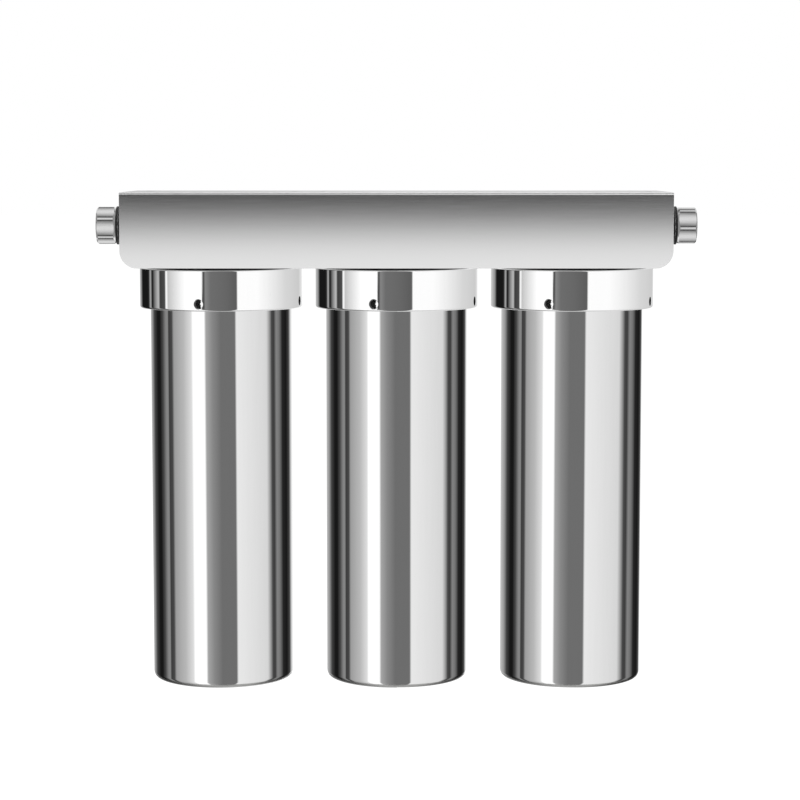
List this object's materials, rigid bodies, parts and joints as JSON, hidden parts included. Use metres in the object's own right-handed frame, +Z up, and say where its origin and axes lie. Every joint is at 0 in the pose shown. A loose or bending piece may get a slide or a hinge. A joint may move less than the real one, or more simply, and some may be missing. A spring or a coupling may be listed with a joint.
{
  "type": "water purifier",
  "caption": "Stainless steel under-sink water purifier: polished canisters with cartridges, held by lock rings under a folded steel bracket.",
  "frame": {"origin": "on the surface the canisters stand on, under the axis of the middle canister", "axes": "+X along the row from the inlet to the outlet, +Y towards the back plate, +Z up"},
  "size_m": [0.424, 0.118, 0.3473],
  "materials": {
    "bracket_steel": "satin, brushed along the length",
    "canister_steel": "stainless steel polished to a mirror",
    "ring_steel": "stainless steel polished to a mirror",
    "adapter_steel": "machined stainless steel",
    "screw_steel": "plain stainless steel",
    "head_plastic": "moulded black plastic",
    "seal_rubber": "matt black rubber",
    "cap_plastic": "moulded white plastic",
    "sediment_fibre": "melt-blown white fibre",
    "carbon": "pressed carbon",
    "potting_resin": "cast amber resin",
    "membrane_fibre": "bundle of white hollow fibres"
  },
  "bodies": {
    "root": {"bracket": "bracket_steel", "bracket_screw_1": "screw_steel", "bracket_screw_2": "screw_steel", "bracket_screw_3": "screw_steel", "bracket_screw_4": "screw_steel", "bracket_screw_5": "screw_steel", "bracket_screw_6": "screw_steel", "filter_head_1": "head_plastic", "filter_head_2": "head_plastic", "filter_head_3": "head_plastic", "head_manifold_1": "head_plastic", "head_manifold_2": "head_plastic", "head_manifold_3": "head_plastic", "head_seal_1": "seal_rubber", "head_seal_2": "seal_rubber", "head_seal_3": "seal_rubber", "nipple_1": "cap_plastic", "nipple_2": "cap_plastic", "nipple_oring_1_left": "seal_rubber", "nipple_oring_1_right": "seal_rubber", "nipple_oring_2_left": "seal_rubber", "nipple_oring_2_right": "seal_rubber", "inlet_adapter": "adapter_steel", "outlet_adapter": "adapter_steel", "inlet_adapter_seal": "seal_rubber", "outlet_adapter_seal": "seal_rubber"},
    "canister_1": {"canister_1": "canister_steel"},
    "lock_ring_1": {"lock_ring_1": "ring_steel"},
    "cartridge_1": {"sediment_top_cap": "cap_plastic", "sediment_bottom_cap": "cap_plastic", "sediment_media": "sediment_fibre", "sediment_core": "cap_plastic", "spigot_oring_1_upper": "seal_rubber", "spigot_oring_1_lower": "seal_rubber"},
    "canister_2": {"canister_2": "canister_steel"},
    "lock_ring_2": {"lock_ring_2": "ring_steel"},
    "cartridge_2": {"carbon_top_cap": "cap_plastic", "carbon_bottom_cap": "cap_plastic", "carbon_block": "carbon", "carbon_core": "cap_plastic", "spigot_oring_2_upper": "seal_rubber", "spigot_oring_2_lower": "seal_rubber"},
    "canister_3": {"canister_3": "canister_steel"},
    "lock_ring_3": {"lock_ring_3": "ring_steel"},
    "cartridge_3": {"membrane_top_cap": "cap_plastic", "membrane_bottom_cap": "cap_plastic", "membrane_shell": "cap_plastic", "membrane_potting": "potting_resin", "membrane_fibres": "membrane_fibre", "spigot_oring_3_upper": "seal_rubber", "spigot_oring_3_lower": "seal_rubber"}
  },
  "joints": [
    {"name": "canister_1_lower", "type": "slide", "parent": "root", "child": "canister_1", "axis": [0, 0, -1], "range_m": [0, 0.29]},
    {"name": "lock_ring_1_turn", "type": "hinge", "parent": "canister_1", "child": "lock_ring_1", "pos_m": [-0.1245, 0, 0.2795], "axis": [0, 0, -1], "range_deg": [0, 1080]},
    {"name": "cartridge_1_unplug", "type": "slide", "parent": "root", "child": "cartridge_1", "axis": [0, 0, -1], "range_m": [0, 0.0125]},
    {"name": "canister_2_lower", "type": "slide", "parent": "root", "child": "canister_2", "axis": [0, 0, -1], "range_m": [0, 0.29]},
    {"name": "lock_ring_2_turn", "type": "hinge", "parent": "canister_2", "child": "lock_ring_2", "pos_m": [0, 0, 0.2795], "axis": [0, 0, -1], "range_deg": [0, 1080]},
    {"name": "cartridge_2_unplug", "type": "slide", "parent": "root", "child": "cartridge_2", "axis": [0, 0, -1], "range_m": [0, 0.0125]},
    {"name": "canister_3_lower", "type": "slide", "parent": "root", "child": "canister_3", "axis": [0, 0, -1], "range_m": [0, 0.29]},
    {"name": "lock_ring_3_turn", "type": "hinge", "parent": "canister_3", "child": "lock_ring_3", "pos_m": [0.1245, 0, 0.2795], "axis": [0, 0, -1], "range_deg": [0, 1080]},
    {"name": "cartridge_3_unplug", "type": "slide", "parent": "root", "child": "cartridge_3", "axis": [0, 0, -1], "range_m": [0, 0.0125]}
  ]
}
